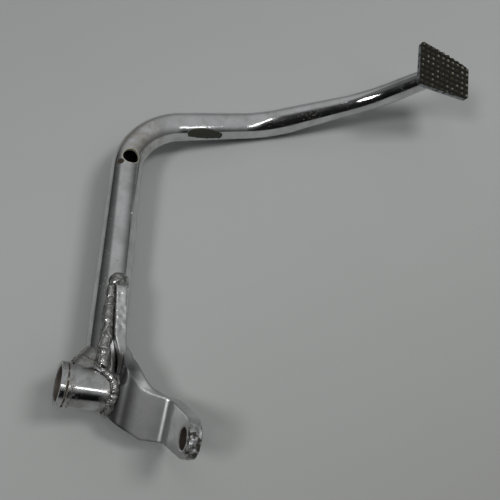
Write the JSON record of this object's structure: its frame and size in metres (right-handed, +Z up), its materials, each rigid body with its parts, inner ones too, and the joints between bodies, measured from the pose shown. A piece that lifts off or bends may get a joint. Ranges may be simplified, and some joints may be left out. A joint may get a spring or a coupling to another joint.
{
  "type": "foot brake lever",
  "caption": "Motorcycle foot brake lever: pivot tube with a plain bore, bent tapering tube arm, stepped plate with a rod pin hole and a chequered foot pad, welded into one rigid part.",
  "frame": {"origin": "on the axis of the pivot bore, level with the middle of the arm", "axes": "the part lies as it rests on a flat table: +Z up, +Y along the straight foot of the arm, +X towards the foot pad, with the pivot bore's mouth facing -X and up"},
  "size_m": [0.2334, 0.2383, 0.0579],
  "materials": {
    "chromed_steel": "worn bright plating with haze and small rust marks",
    "plated_plate": "dull satin plating",
    "dark_pad": "dark, dirty, worn at the crests",
    "weld_metal": "plated weld beads with dark seams"
  },
  "bodies": {
    "root": {"pivot_tube": "chromed_steel", "arm_tube": "chromed_steel", "rod_lever_plate": "plated_plate", "saddle": "plated_plate", "foot_pad": "dark_pad", "fin_bead": "weld_metal", "fin_cap_bead": "weld_metal", "ring_bead": "weld_metal", "pad_bead": "weld_metal"}
  },
  "joints": []
}
